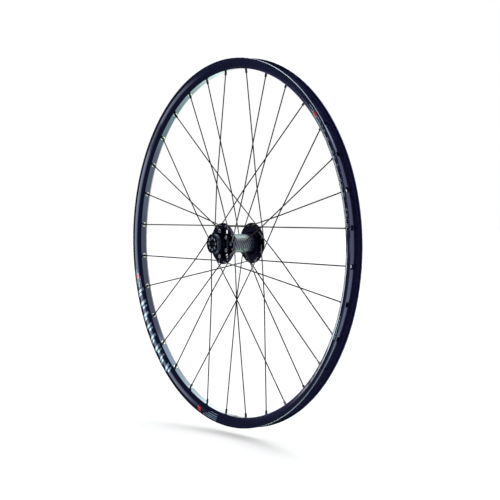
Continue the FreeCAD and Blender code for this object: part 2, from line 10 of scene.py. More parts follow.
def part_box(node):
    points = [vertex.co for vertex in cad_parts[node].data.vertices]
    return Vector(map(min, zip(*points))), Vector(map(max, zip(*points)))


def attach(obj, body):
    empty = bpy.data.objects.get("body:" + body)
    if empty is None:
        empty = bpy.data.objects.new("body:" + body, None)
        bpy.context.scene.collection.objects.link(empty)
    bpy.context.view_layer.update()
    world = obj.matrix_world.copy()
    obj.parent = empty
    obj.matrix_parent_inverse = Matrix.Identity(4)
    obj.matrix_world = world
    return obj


bl_info = {
    "name": "Bicycle wheel dressing",
    "version": (1, 0, 0),
    "blender": (4, 5, 0),
    "location": "View3D > Sidebar > Wheel",
    "description": "Finishes, stripes, threads and stage for a spoked bicycle wheel",
    "category": "Object",
}

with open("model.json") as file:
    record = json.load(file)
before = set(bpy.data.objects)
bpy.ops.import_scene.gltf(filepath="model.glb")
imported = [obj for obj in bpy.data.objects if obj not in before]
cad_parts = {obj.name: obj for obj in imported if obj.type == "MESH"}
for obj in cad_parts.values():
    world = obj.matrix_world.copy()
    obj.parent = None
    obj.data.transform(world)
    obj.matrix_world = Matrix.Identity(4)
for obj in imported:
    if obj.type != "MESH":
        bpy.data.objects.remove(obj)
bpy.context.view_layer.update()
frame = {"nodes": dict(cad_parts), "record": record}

MM = 0.001
SPIN = Vector((0, 1, 0))
SIDES = {"left": -1, "right": 1}
RIM_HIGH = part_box("rim")[1]
HUB_LOW, HUB_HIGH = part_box("hub_shell")
RIM_RADIUS = round(RIM_HIGH[2], 4)
RIM_HALF_WIDTH = round(RIM_HIGH[1], 4)
END_FACE = round(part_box("right_end_cap")[1][1], 4)


def mount(name):
    """A mount of the frame's record, by its name."""
    return next(item for item in frame["record"]["mounts"] if item["name"] == name)


# ---- settings ---------------------------------------------------------------------------------
class WheelFinishSettings(bpy.types.PropertyGroup):
    """Colours of the wheel's finishes"""

    rim_colour: FloatVectorProperty(
        name="Rim", description="Dyed anodising of the rim", subtype="COLOR", size=3, min=0, max=1,
        default=(0.036, 0.046, 0.080))
    hub_colour: FloatVectorProperty(
        name="Hub", description="Dyed anodising of the flanges and end caps", subtype="COLOR", size=3,
        min=0, max=1, default=(0.020, 0.020, 0.038))
    barrel_colour: FloatVectorProperty(
        name="Barrel", description="Bare turned aluminium of the hub's barrel", subtype="COLOR", size=3,
        min=0, max=1, default=(0.215, 0.24, 0.245))
    spoke_colour: FloatVectorProperty(
        name="Spokes", description="Blackened stainless steel", subtype="COLOR", size=3, min=0, max=1,
        default=(0.032, 0.029, 0.025))
    stripe_colour: FloatVectorProperty(
        name="Stripes", description="Pale blue bars on the rim", subtype="COLOR", size=3, min=0, max=1,
        default=(0.40, 0.60, 0.66))
    # The second set's darker ink is painted shade: the same pale print looks dark there, where the wall
    # reflects the dark front.
    shaded_hatch_colour: FloatVectorProperty(
        name="Hatch", description="Fainter bars of the second set", subtype="COLOR", size=3, min=0, max=1,
        default=(0.10, 0.13, 0.15))
    accent_colour: FloatVectorProperty(
        name="Accent", description="Red blocks at the stripes' ends", subtype="COLOR", size=3, min=0, max=1,
        default=(0.62, 0.045, 0.03))


class WheelStripeSettings(bpy.types.PropertyGroup):
    """Sizes of the bars on the rim's side walls"""

    start: FloatProperty(
        name="Start", description="Where the first set begins, from +X towards +Z", subtype="ANGLE",
        default=math.radians(189.0))
    between: FloatProperty(
        name="Second set", description="Turn back from the start of the first set to that of the second",
        subtype="ANGLE", default=math.radians(143.0))
    bars: IntProperty(name="Bars", description="Broad bars in a set", default=8, min=2, max=16)
    pitch: FloatProperty(
        name="Pitch", description="Turn from one broad bar to the next", subtype="ANGLE",
        default=math.radians(4.4))
    slant: FloatProperty(
        name="Slant", description="Lean of the bars' ends", subtype="ANGLE", default=math.radians(24.0))
    low: FloatProperty(
        name="Inner edge", description="Radius of the bars' inner edge", subtype="DISTANCE", unit="LENGTH",
        default=302.4 * MM)
    high: FloatProperty(
        name="Outer edge", description="Radius of the bars' outer edge", subtype="DISTANCE", unit="LENGTH",
        default=315.0 * MM)
    thickness: FloatProperty(
        name="Thickness", description="Thickness of the printed film", subtype="DISTANCE", unit="LENGTH",
        default=0.06 * MM)


class WheelStageSettings(bpy.types.PropertyGroup):
    """Camera and studio light"""

    distance: FloatProperty(
        name="Distance", description="Camera to wheel's centre", subtype="DISTANCE", unit="LENGTH",
        default=2.3691)
    azimuth: FloatProperty(
        name="Azimuth", description="Camera's turn round the wheel from its left face", subtype="ANGLE",
        default=math.radians(54.18))
    elevation: FloatProperty(
        name="Elevation", description="Camera's height angle", subtype="ANGLE", default=math.radians(1.52))
    aim: FloatVectorProperty(
        name="Aim", description="Point that the camera looks at", subtype="XYZ", unit="LENGTH", size=3,
        default=(14.6 * MM, 19.5 * MM, -11.6 * MM))
    lens: FloatProperty(name="Lens", description="Focal length in millimetres", default=98.7, min=10)
    key_turn: FloatProperty(
        name="Key turn", description="Direction of the strip light, from +X towards +Y", subtype="ANGLE",
        default=math.radians(240.0))
    edge_turn: FloatProperty(
        name="Edge turn", description="Direction of the second strip light, from +X towards +Y",
        subtype="ANGLE", default=math.radians(183.0))
    key_glow: FloatProperty(name="Key", description="Brightness of the strip lights", default=4.0, min=0)
    front_glow: FloatProperty(name="Front", description="Brightness of the dark front", default=0.09, min=0)
    back_glow: FloatProperty(name="Back", description="Brightness of the white back", default=1.0, min=0)
    high_glow: FloatProperty(
        name="High box", description="Brightness of the high soft box behind the wheel", default=2.6, min=0)
    low_glow: FloatProperty(
        name="Low box", description="Brightness of the low soft box behind the wheel", default=1.3, min=0)
    top_power: FloatProperty(
        name="Top", description="Overhead soft box's power in watts", default=44.0, min=0)
    floor_gap: FloatProperty(
        name="Floor gap", description="Wheel's lowest point to the floor", subtype="DISTANCE", unit="LENGTH",
        default=14.0 * MM)


# ---- node helpers -------------------------------------------------------------------------------
class Graph:
    """Short names for building a node tree."""

    def __init__(self, tree):
        self.nodes = tree.nodes
        self.links = tree.links

    def add(self, kind, **settings):
        node = self.nodes.new(kind)
        for key, value in settings.items():
            setattr(node, key, value)
        return node

    def feed(self, socket, value):
        if isinstance(value, bpy.types.NodeSocket):
            self.links.new(value, socket)
        else:
            socket.default_value = value

    def math(self, operation, *values):
        node = self.add("ShaderNodeMath", operation=operation)
        for socket, value in zip(node.inputs, values):
            self.feed(socket, value)
        return node.outputs[0]

    def plus(self, first, second):
        return self.math("ADD", first, second)

    def minus(self, first, second):
        return self.math("SUBTRACT", first, second)

    def times(self, first, second):
        return self.math("MULTIPLY", first, second)

    def diagonal(self, across, up):
        """The length of the slanted side over two sides that stand square to each other."""
        return self.math("SQRT", self.plus(self.times(across, across), self.times(up, up)))

    def step(self, value, low, high):
        """0 below low, 1 above high, smooth between."""
        node = self.add("ShaderNodeMapRange", interpolation_type="SMOOTHSTEP")
        for socket, item in zip(node.inputs, (value, low, high)):
            self.feed(socket, item)
        return node.outputs[0]

    def drop(self, value, low, high):
        """1 below low, 0 above high, smooth between."""
        return self.minus(1.0, self.step(value, low, high))

    def band(self, value, low, high, edge):
        """1 between low and high, fading over the edge."""
        rise = self.step(value, low - edge, low + edge)
        return self.times(rise, self.drop(value, high - edge, high + edge))

    def blend(self, factor, first, second):
        node = self.add("ShaderNodeMix", data_type="RGBA")
        self.feed(node.inputs["Factor"], factor)
        self.feed(node.inputs[6], self.colour(first))
        self.feed(node.inputs[7], self.colour(second))
        return node.outputs[2]

    def lerp(self, factor, first, second):
        node = self.add("ShaderNodeMapRange")
        for socket, item in zip(node.inputs, (factor, 0.0, 1.0, first, second)):
            self.feed(socket, item)
        return node.outputs[0]

    @staticmethod
    def colour(value):
        if isinstance(value, bpy.types.NodeSocket):
            return value
        return (*tuple(value)[:3], 1.0)

    def place(self):
        """The point on the surface in the wheel's own frame."""
        return self.add("ShaderNodeTexCoord").outputs["Object"]

    def split(self, vector):
        """The x, y and z of a vector."""
        node = self.add("ShaderNodeSeparateXYZ")
        self.feed(node.inputs[0], vector)
        return node.outputs

    def noise(self, vector, scale, detail=3.0, roughness=0.5):
        node = self.add("ShaderNodeTexNoise")
        self.feed(node.inputs["Vector"], vector)
        self.feed(node.inputs["Scale"], scale)
        self.feed(node.inputs["Detail"], detail)
        self.feed(node.inputs["Roughness"], roughness)
        return node.outputs[0]

    def group(self, tree, **values):
        node = self.add("ShaderNodeGroup", node_tree=tree)
        for key, value in values.items():
            self.feed(node.inputs[key.replace("_", " ").capitalize()], value)
        return node


# ---- effects that several finishes share ----------------------------------------------------------
STREAK_SCALE = 0.23
SMUDGE_STEP = (0.45, 0.72)
SPECKS_PER_PATCH = 24.0
DUST_STEP = (0.64, 0.74)


def new_group(name, inputs, outputs):
    """A shader node group with named float sockets, and its graph, input and output nodes."""
    tree = bpy.data.node_groups.new(name, "ShaderNodeTree")
    for label, default in inputs:
        socket = tree.interface.new_socket(name=label, in_out="INPUT", socket_type="NodeSocketFloat")
        socket.default_value = default
    for label in outputs:
        tree.interface.new_socket(name=label, in_out="OUTPUT", socket_type="NodeSocketFloat")
    graph = Graph(tree)
    return tree, graph, graph.add("NodeGroupInput"), graph.add("NodeGroupOutput")


def group_wheel_place():
    """Radius from the spin axis, place along it and turn round it, of a point in the wheel's frame."""
    tree, g, _, result = new_group("wheel place", (), ("Radius", "Along", "Turn"))
    x, y, z = g.split(g.place())
    g.feed(result.inputs["Radius"], g.diagonal(x, z))
    g.feed(result.inputs["Along"], y)
    g.feed(result.inputs["Turn"], g.math("ARCTAN2", z, x))
    return tree


def group_turning_lines(wheel_place):
    """Fine rings left by drawing or turning, which change with radius and place along, and a little round."""
    tree, g, given, result = new_group(
        "turning lines", (("Line width", 0.3 * MM), ("Waviness", 0.2)), ("Height", "Streak"))
    place = g.group(wheel_place)
    per_line = g.math("DIVIDE", 1.0, given.outputs["Line width"])
    join = g.add("ShaderNodeCombineXYZ")
    g.feed(join.inputs[0], g.times(place.outputs["Radius"], per_line))
    g.feed(join.inputs[1], g.times(place.outputs["Along"], per_line))
    g.feed(join.inputs[2], g.times(place.outputs["Turn"], given.outputs["Waviness"]))
    g.feed(result.inputs["Height"], g.noise(join.outputs[0], 1.0, 2.0))
    g.feed(result.inputs["Streak"], g.noise(join.outputs[0], STREAK_SCALE, 3.0))
    return tree


def group_handling_marks():
    """Faint smudges and dust that break up an even gloss."""
    tree, g, given, result = new_group(
        "handling marks", (("Patch size", 20.0 * MM), ("Amount", 0.5)), ("Smudge", "Dust"))
    place = g.place()
    broad = g.noise(place, g.math("DIVIDE", 1.0, given.outputs["Patch size"]), 4.0, 0.6)
    specks = g.noise(place, g.math("DIVIDE", SPECKS_PER_PATCH, given.outputs["Patch size"]), 2.0, 0.7)
    g.feed(result.inputs["Smudge"], g.times(g.step(broad, *SMUDGE_STEP), given.outputs["Amount"]))
    g.feed(result.inputs["Dust"], g.times(g.step(specks, *DUST_STEP), given.outputs["Amount"]))
    return tree


GROUPS = {}


def build_groups():
    GROUPS["place"] = group_wheel_place()
    GROUPS["lines"] = group_turning_lines(GROUPS["place"])
    GROUPS["marks"] = group_handling_marks()


# ---- finishes -----------------------------------------------------------------------------------
COAT_ROUGHNESS = 0.12
MASK_EDGE = 0.1 * MM

# Grains to the metre.
WIRE_GRAIN = 2600.0
NYLON_GRAIN = 1800.0
RUBBER_GRAIN = 3000.0
PRINT_GRAIN = 900.0


def new_finish(name, metallic, specular=0.5, coat=0.0):
    """A material with an empty graph round one shader whose plain numbers are set on its own sockets."""
    if not GROUPS:
        build_groups()
    material = bpy.data.materials.new(name)
    material.use_nodes = True
    material.node_tree.nodes.clear()
    graph = Graph(material.node_tree)
    shader = graph.add("ShaderNodeBsdfPrincipled")
    output = graph.add("ShaderNodeOutputMaterial")
    graph.links.new(shader.outputs[0], output.inputs[0])
    shader.inputs["Metallic"].default_value = metallic
    shader.inputs["Specular IOR Level"].default_value = specular
    shader.inputs["Coat Weight"].default_value = coat
    shader.inputs["Coat Roughness"].default_value = COAT_ROUGHNESS
    return material, graph, shader


def two_tone(g, shader, mask, colours, roughness):
    """Base colour and roughness that both run from a first to a second value with one mask."""
    g.feed(shader.inputs["Base Color"], g.blend(mask, *colours))
    g.feed(shader.inputs["Roughness"], g.lerp(mask, *roughness))


def handled_roughness(g, shader, lines, marks, roughness, smudge):
    """Roughness that follows the turning lines, with smudges on top of them."""
    lined = g.lerp(lines.outputs["Streak"], *roughness)
    g.feed(shader.inputs["Roughness"], g.plus(lined, g.times(marks.outputs["Smudge"], smudge)))


def add_bump(g, shader, height, distance, strength):
    """Fine relief from a height that varies over the surface."""
    bump = g.add("ShaderNodeBump")
    bump.inputs["Strength"].default_value = strength
    bump.inputs["Distance"].default_value = distance
    g.feed(bump.inputs["Height"], height)
    g.feed(shader.inputs["Normal"], bump.outputs[0])


# Outer lip of the rim, where a highlight is painted.
LIP = (RIM_RADIUS - 0.9 * MM, RIM_RADIUS - 0.1 * MM)
SEAM_TURN = math.pi / 2
SEAM_EDGE = (0.06 * MM, 0.14 * MM)
WELL_FLOOR = (RIM_RADIUS - 14.5 * MM, RIM_RADIUS - 14.0 * MM)
WELL_HALF_WIDTH = 7.8 * MM
BEAD_SHELF = (RIM_RADIUS - 8.6 * MM, RIM_RADIUS - 8.2 * MM)
SHELF_HALF_WIDTH = 11.5 * MM
# Colour of the painted violet sheen in the tyre channel.
PAINTED_CHANNEL_SHEEN = (0.036, 0.034, 0.105)


def tyre_channel(g, place):
    """1 on the rim's well and on its bead shelves, which a tyre hides."""
    beside = g.math("ABSOLUTE", place.outputs["Along"])
    masks = []
    for half_width, floor in ((WELL_HALF_WIDTH, WELL_FLOOR), (SHELF_HALF_WIDTH, BEAD_SHELF)):
        inside = g.drop(beside, half_width, half_width + MASK_EDGE)
        masks.append(g.times(inside, g.step(place.outputs["Radius"], *floor)))
    return g.math("MAXIMUM", *masks)


def anodised_rim():
    """Dark dyed anodising over drawn aluminium: a fine seam, a painted highlight along the lips and a painted
    violet sheen in the tyre channel.
    """
    settings = bpy.context.scene.wheel_finish
    material, g, shader = new_finish("anodised rim", metallic=1.0, coat=0.8)
    place = g.group(GROUPS["place"])
    lines = g.group(GROUPS["lines"], line_width=0.8 * MM, waviness=0.3)
    marks = g.group(GROUPS["marks"], patch_size=30.0 * MM, amount=0.6)
    dye = Vector(settings.rim_colour)
    colour = g.blend(lines.outputs["Streak"], dye * 0.85, dye * 1.15)
    # Painted highlight: the outer lip's dye is lightened all round, standing in for the light its rounded
    # edge catches.
    lip_highlight = g.step(place.outputs["Radius"], *LIP)
    colour = g.blend(g.times(lip_highlight, 0.5), colour, dye * 2)
    from_seam = g.math("ABSOLUTE", g.minus(place.outputs["Turn"], SEAM_TURN))
    seam = g.drop(g.times(from_seam, place.outputs["Radius"]), *SEAM_EDGE)
    colour = g.blend(seam, colour, dye * 0.2)
    # Painted sheen: the channel is violet and less metallic, standing in for the purple light it reflects.
    channel = tyre_channel(g, place)
    g.feed(shader.inputs["Base Color"], g.blend(channel, colour, PAINTED_CHANNEL_SHEEN))
    g.feed(shader.inputs["Metallic"], g.lerp(channel, 1.0, 0.75))
    handled_roughness(g, shader, lines, marks, roughness=(0.13, 0.18), smudge=0.08)
    add_bump(g, shader, g.minus(lines.outputs["Height"], seam), distance=0.01 * MM, strength=0.02)
    return material


FIRST_BOLT = math.pi / 6
MOUTH_RING = 0.8 * MM
PAD_END = (HUB_LOW[1] + 6.0 * MM, HUB_LOW[1] + 11.0 * MM)
# Colour of the painted highlight round the disc bolts' holes.
PAINTED_MOUTH_HIGHLIGHT = (0.5, 0.53, 0.55)
BARREL_ENDS = (HUB_LOW[1] + 15.4 * MM, HUB_HIGH[1] - 12.6 * MM)
BARREL_SURFACE = (18.2 * MM, 18.5 * MM)
HALF_TURN_START = 0.9
PANEL = (-0.75, 0.35)
PANEL_EDGE = 0.02
BAR_SLANT = 9.0 * MM
BROAD_PITCH = 4.6 * MM
BROAD_BAR = (0.6 * MM, 3.1 * MM)
FINE_PITCH = 0.9 * MM
FINE_BAR = (0.2 * MM, 0.5 * MM)
FINE_INK = 0.5


def round_spots(g, place, circle, count, spot_r, first):
    """1 on equal round spots on a circle round the spin axis, the first of them at an angle from +X."""
    pitch = 2 * math.pi / count
    turned = g.minus(place.outputs["Turn"], first - pitch / 2)
    turn = g.minus(g.math("FLOORED_MODULO", turned, pitch), pitch / 2)
    beside = g.times(place.outputs["Radius"], g.math("SINE", turn))
    beyond = g.minus(g.times(place.outputs["Radius"], g.math("COSINE", turn)), circle)
    return g.drop(g.diagonal(beside, beyond), spot_r - MASK_EDGE, spot_r + MASK_EDGE)


def bolt_mouths(g, place):
    """1 on a ring round each of the disc bolts' holes, on the brake's side, where a highlight is painted."""
    dims = mount("disc_bolts")["dims"]
    spot_r = dims["hole_r_mm"] * MM + MOUTH_RING
    near = round_spots(g, place, dims["pcd_mm"] / 2 * MM, dims["count"], spot_r, FIRST_BOLT)
    return g.times(near, g.drop(place.outputs["Along"], *PAD_END))


def barrel_bars(g, place):
    """1 on the dark slanted bars printed along the barrel, in one panel on either side of it."""
    turned = g.plus(place.outputs["Turn"], HALF_TURN_START)
    half_turn = g.minus(g.math("FLOORED_MODULO", turned, math.pi), HALF_TURN_START)
    panel = g.band(half_turn, *PANEL, PANEL_EDGE)
    slanted = g.plus(place.outputs["Along"], g.times(half_turn, BAR_SLANT))
    broad = g.band(g.math("FLOORED_MODULO", slanted, BROAD_PITCH), *BROAD_BAR, MASK_EDGE)
    fine = g.band(g.math("FLOORED_MODULO", slanted, FINE_PITCH), *FINE_BAR, MASK_EDGE / 2)
    return g.times(panel, g.math("MAXIMUM", broad, g.times(fine, FINE_INK)))


def anodised_hub():
    """Dyed flanges and bosses, a bare turned barrel between them and a painted highlight on a ring round each
    of the disc bolts' holes.
    """
    settings = bpy.context.scene.wheel_finish
    material, g, shader = new_finish("anodised hub", metallic=1.0, coat=0.05)
    shader.inputs["Specular Tint"].default_value = (0.3, 0.3, 0.36, 1.0)
    place = g.group(GROUPS["place"])
    lines = g.group(GROUPS["lines"], line_width=0.25 * MM, waviness=0.3)
    marks = g.group(GROUPS["marks"], patch_size=12.0 * MM, amount=0.5)
    dye, bare = Vector(settings.hub_colour), Vector(settings.barrel_colour)
    dyed = g.blend(lines.outputs["Streak"], dye * 0.8, dye * 1.25)
    turned = g.blend(lines.outputs["Streak"], bare * 0.7, bare)
    turned = g.blend(barrel_bars(g, place), turned, dye * 2)
    between = g.band(place.outputs["Along"], *BARREL_ENDS, MASK_EDGE)
    barrel = g.times(between, g.drop(place.outputs["Radius"], *BARREL_SURFACE))
    # Painted highlight: a pale, less metallic ring round each bolt hole stands in for the light its edge
    # catches.
    mouth_highlights = bolt_mouths(g, place)
    g.feed(shader.inputs["Base Color"], g.blend(mouth_highlights, g.blend(barrel, dyed, turned), PAINTED_MOUTH_HIGHLIGHT))
    g.feed(shader.inputs["Metallic"], g.lerp(mouth_highlights, 1.0, 0.3))
    handled_roughness(g, shader, lines, marks, roughness=(0.22, 0.36), smudge=0.1)
    add_bump(g, shader, lines.outputs["Height"], distance=0.02 * MM, strength=0.5)
    return material


CAP_POCKETS = 8
CAP_POCKET_CIRCLE = 9.9 * MM
CAP_POCKET_R = 1.9 * MM
CAP_FACE = (END_FACE - 0.9 * MM, END_FACE - 0.7 * MM)
# Radii and colour of the painted highlight on the cap face's outer rim.
CAP_RIM_SHEEN_REACH = (15.9 * MM, 16.3 * MM)
BORE_RING = (0.1 * MM, 0.4 * MM)
PAINTED_CAP_RIM_HIGHLIGHT = (0.3, 0.34, 0.34)
# Colour of the painted highlights on the cap's pockets.
PAINTED_POCKET_HIGHLIGHT = (0.42, 0.48, 0.48)
# Colour of the painted light in the axle's hole.
PAINTED_BORE_LIGHT = (0.35, 0.37, 0.38)


def anodised_cap():
    """Black end caps with painted highlights: on the face's outer rim, on eight pockets, and on the axle's
    hole and a thin ring round it.
    """
    settings = bpy.context.scene.wheel_finish
    material, g, shader = new_finish("anodised end cap", metallic=1.0, coat=0.1)
    place = g.group(GROUPS["place"])
    lines = g.group(GROUPS["lines"], line_width=0.2 * MM, waviness=0.4)
    bore = mount("thru_axle_bore")["dims"]["r_mm"] * MM
    edge = g.drop(place.outputs["Radius"], bore + BORE_RING[0], bore + BORE_RING[1])
    dye = Vector(settings.hub_colour)
    colour = g.blend(lines.outputs["Streak"], dye * 0.8, dye * 1.4)
    face = g.step(g.math("ABSOLUTE", place.outputs["Along"]), *CAP_FACE)
    # Painted highlight: the face's outer rim is lighter all round, standing in for the pale line of light on
    # the cap's edge.
    cap_rim_highlight = g.times(g.step(place.outputs["Radius"], *CAP_RIM_SHEEN_REACH), g.times(face, 0.6))
    colour = g.blend(cap_rim_highlight, colour, PAINTED_CAP_RIM_HIGHLIGHT)
    # Painted highlight: the pockets are pale and less metallic, standing in for the light they catch.
    pocket_highlights = round_spots(g, place, CAP_POCKET_CIRCLE, CAP_POCKETS, CAP_POCKET_R, 0.0)
    colour = g.blend(pocket_highlights, colour, PAINTED_POCKET_HIGHLIGHT)
    # Painted light: the axle's hole and a thin ring round it are lighter, standing in for the light seen
    # inside the bore.
    g.feed(shader.inputs["Base Color"], g.blend(edge, colour, PAINTED_BORE_LIGHT))
    g.feed(shader.inputs["Metallic"], g.lerp(pocket_highlights, 1.0, 0.3))
    g.feed(shader.inputs["Roughness"], g.lerp(lines.outputs["Streak"], 0.2, 0.34))
    add_bump(g, shader, lines.outputs["Height"], distance=0.02 * MM, strength=0.5)
    return material


# Reach and colour of the painted sheen on the spokes near the hub.
SPOKE_SHEEN_REACH = (33.0 * MM, 75.0 * MM)
PAINTED_SPOKE_SHEEN = (0.5, 0.48, 0.44)
NIPPLE_HEAD = (RIM_RADIUS - 15.8 * MM, RIM_RADIUS - 15.4 * MM)
NIPPLE_BLACK = (0.055, 0.054, 0.058)
WORN_BRASS = (0.42, 0.33, 0.18)
BRIGHT_HEAD = (0.7, 0.69, 0.64)


def blackened_steel():
    """Oxide-blackened spoke wire with slightly browner patches, and a painted sheen that makes it lighter and
    less metallic towards the hub.
    """
    settings = bpy.context.scene.wheel_finish
    material, g, shader = new_finish("blackened spoke steel", metallic=1.0)
    shader.inputs["Specular Tint"].default_value = (0.12, 0.115, 0.105, 1.0)
    place = g.group(GROUPS["place"])
    marks = g.group(GROUPS["marks"], patch_size=18.0 * MM, amount=0.9)
    black = Vector(settings.spoke_colour)
    colour = g.blend(marks.outputs["Smudge"], black, black * 1.7)
    # Painted sheen: near the hub the wire is lighter and less metallic, standing in for the light its heads
    # and crossings catch.
    near_hub = g.drop(place.outputs["Radius"], *SPOKE_SHEEN_REACH)
    g.feed(shader.inputs["Base Color"], g.blend(g.times(near_hub, 0.35), colour, PAINTED_SPOKE_SHEEN))
    g.feed(shader.inputs["Metallic"], g.lerp(near_hub, 1.0, 0.5))
    g.feed(shader.inputs["Roughness"], g.lerp(marks.outputs["Smudge"], 0.3, 0.42))
    add_bump(g, shader, g.noise(g.place(), WIRE_GRAIN, 2.0), distance=0.01 * MM, strength=0.3)
    return material


def plated_nipple():
    """Black plated brass, worn to the brass in specks, its head inside the rim left bright."""
    material, g, shader = new_finish("plated nipple", metallic=1.0)
    marks = g.group(GROUPS["marks"], patch_size=4.0 * MM, amount=1.0)
    colour = g.blend(marks.outputs["Dust"], NIPPLE_BLACK, WORN_BRASS)
    head = g.step(g.group(GROUPS["place"]).outputs["Radius"], *NIPPLE_HEAD)
    g.feed(shader.inputs["Base Color"], g.blend(head, colour, BRIGHT_HEAD))
    g.feed(shader.inputs["Roughness"], g.lerp(marks.outputs["Smudge"], 0.18, 0.34))
    return material


def nickel_plate():
    """Bright plated eyelets, duller in smudges."""
    material, g, shader = new_finish("nickel plated eyelet", metallic=1.0)
    marks = g.group(GROUPS["marks"], patch_size=5.0 * MM, amount=0.8)
    two_tone(g, shader, marks.outputs["Smudge"],
             colours=((0.62, 0.64, 0.54), (0.42, 0.43, 0.35)), roughness=(0.2, 0.4))
    return material


def bearing_steel():
    """Ground and polished bearing steel."""
    material, g, shader = new_finish("ground bearing steel", metallic=1.0)
    lines = g.group(GROUPS["lines"], line_width=0.12 * MM, waviness=0.5)
    two_tone(g, shader, lines.outputs["Streak"],
             colours=((0.55, 0.56, 0.58), (0.72, 0.73, 0.75)), roughness=(0.12, 0.24))
    return material


def moulded_nylon():
    """Pale brown nylon of the ball cages, with a moulded grain."""
    material, g, shader = new_finish("moulded nylon", metallic=0.0)
    grain = g.noise(g.place(), NYLON_GRAIN, 4.0)
    two_tone(g, shader, grain, colours=((0.30, 0.24, 0.14), (0.38, 0.31, 0.2)), roughness=(0.42, 0.6))
    add_bump(g, shader, grain, distance=0.03 * MM, strength=0.4)
    return material


def moulded_rubber():
    """Black seal rubber with a dull bloom."""
    material, g, shader = new_finish("seal rubber", metallic=0.0, specular=0.35)
    marks = g.group(GROUPS["marks"], patch_size=6.0 * MM, amount=0.8)
    grain = g.noise(g.place(), RUBBER_GRAIN, 3.0)
    bloom = g.blend(marks.outputs["Smudge"], (0.012, 0.012, 0.013), (0.035, 0.035, 0.036))
    g.feed(shader.inputs["Base Color"], bloom)
    g.feed(shader.inputs["Roughness"], g.lerp(grain, 0.5, 0.75))
    add_bump(g, shader, grain, distance=0.02 * MM, strength=0.4)
    return material


def turned_aluminium():
    """Bare aluminium of the axle tube, the sleeve and the threads, with turning lines."""
    material, g, shader = new_finish("turned aluminium", metallic=1.0)
    lines = g.group(GROUPS["lines"], line_width=0.2 * MM, waviness=0.2)
    two_tone(g, shader, lines.outputs["Streak"],
             colours=((0.5, 0.51, 0.52), (0.66, 0.67, 0.68)), roughness=(0.24, 0.38))
    add_bump(g, shader, lines.outputs["Height"], distance=0.02 * MM, strength=0.5)
    return material


def printed_film(name, colour):
    """A bar of metallised film: fine print grain, slightly uneven ink, a clear gloss over it."""
    material, g, shader = new_finish(name, metallic=0.75, coat=0.25)
    ink = Vector(colour)
    two_tone(g, shader, g.noise(g.place(), PRINT_GRAIN, 3.0),
             colours=(ink * 0.9, ink * 1.06), roughness=(0.28, 0.4))
    return material


FINISH_OF_SLOT = {
    "rim_black": anodised_rim,
    "hub_black": anodised_hub,
    "cap_black": anodised_cap,
    "spoke_steel": blackened_steel,
    "nipple_brass": plated_nipple,
    "eyelet_steel": nickel_plate,
    "bearing_steel": bearing_steel,
    "cage_plastic": moulded_nylon,
    "seal_rubber": moulded_rubber,
    "axle_alu": turned_aluminium,
    "sleeve_alu": turned_aluminium,
}


def dress_nodes(slots):
    """Gives each frame node of these slots its finish."""
    finishes = {}
    dressed = 0
    for item in frame["record"]["subparts"]:
        slot = item["material_slot"]
        if slot not in slots:
            continue
        maker = FINISH_OF_SLOT[slot]
        if maker not in finishes:
            finishes[maker] = maker()
        node = frame["nodes"][item["node"]]
        for material_slot in node.material_slots:
            material_slot.material = finishes[maker]
        dressed += 1
    if not dressed:
        raise RuntimeError(f"no frame node has a slot among {slots}")


# ---- modelling helpers ----------------------------------------------------------------------------
def deselect():
    """Leaves edit mode and lets go of every piece."""
    if bpy.context.object and bpy.context.object.mode != "OBJECT":
        bpy.ops.object.mode_set(mode="OBJECT")
    bpy.ops.object.select_all(action="DESELECT")


def take(piece):
    """Makes a piece the only one that operators act on."""
    deselect()
    piece.select_set(True)
    bpy.context.view_layer.objects.active = piece


def apply_place():
    """Moves the selected piece's place, turn and scale into its mesh."""
    bpy.ops.object.transform_apply(location=True, rotation=True, scale=True)


def on_circle(radius, angle, along=0.0):
    """The point on a circle round the spin axis, at an angle from +X towards +Z."""
    return Vector((radius * math.cos(angle), along, radius * math.sin(angle)))


def pick(condition):
    """Selects the vertices of the mesh in edit mode whose places meet the condition."""
    bpy.ops.mesh.select_all(action="DESELECT")
    bpy.ops.mesh.select_mode(type="VERT")
    mesh = bmesh.from_edit_mesh(bpy.context.object.data)
    for vertex in mesh.verts:
        vertex.select_set(condition(vertex.co))
    mesh.select_flush_mode()
    bmesh.update_edit_mesh(bpy.context.object.data)


def settle(piece, finish, body):
    """Applies a piece's place and modifiers, gives it its finish and puts it on a body."""
    take(piece)
    for modifier in list(piece.modifiers):
        bpy.ops.object.modifier_apply(modifier=modifier.name)
    apply_place()
    piece.data.materials.clear()
    piece.data.materials.append(finish)
    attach(piece, body)
    return piece


def join(pieces, name):
    """Makes one named piece of several."""
    deselect()
    for piece in pieces:
        piece.select_set(True)
    bpy.context.view_layer.objects.active = pieces[0]
    if len(pieces) > 1:
        bpy.ops.object.join()
    bpy.context.object.name = name
    bpy.context.object.data.name = name
    return bpy.context.object


# ---- stripes on the rim -----------------------------------------------------------------------------
EDGE_STEPS = 8
PATCH_GAP = 1.0 * MM
FILM_GAP = 0.05 * MM
PIN_LINES = 4
PIN_LINE_WIDTH = 0.7 * MM

# Round the rim a set is laid out in pitches, and across it in shares of the bars' height.
FIRST_BLOCK = 0.7
BLOCK_SWEEP = 0.4
BLOCK_LOW = 0.45
BARS_FROM = 2
BROAD_SWEEPS = (0.18, 0.24, 0.24)
THIN_SWEEP = 0.18
THIN_GAP = 0.14
THIN_REACH = 0.6
BLOCK_PAST_BARS = 6.2
LINES_PAST_BARS = 7
PIN_SWEEP = 1.7
PIN_SHORTER = 0.25
PIN_LAG_FIRST = 0.3
PIN_LAG_LAST = 0.25
PIN_HIGHEST = 0.1


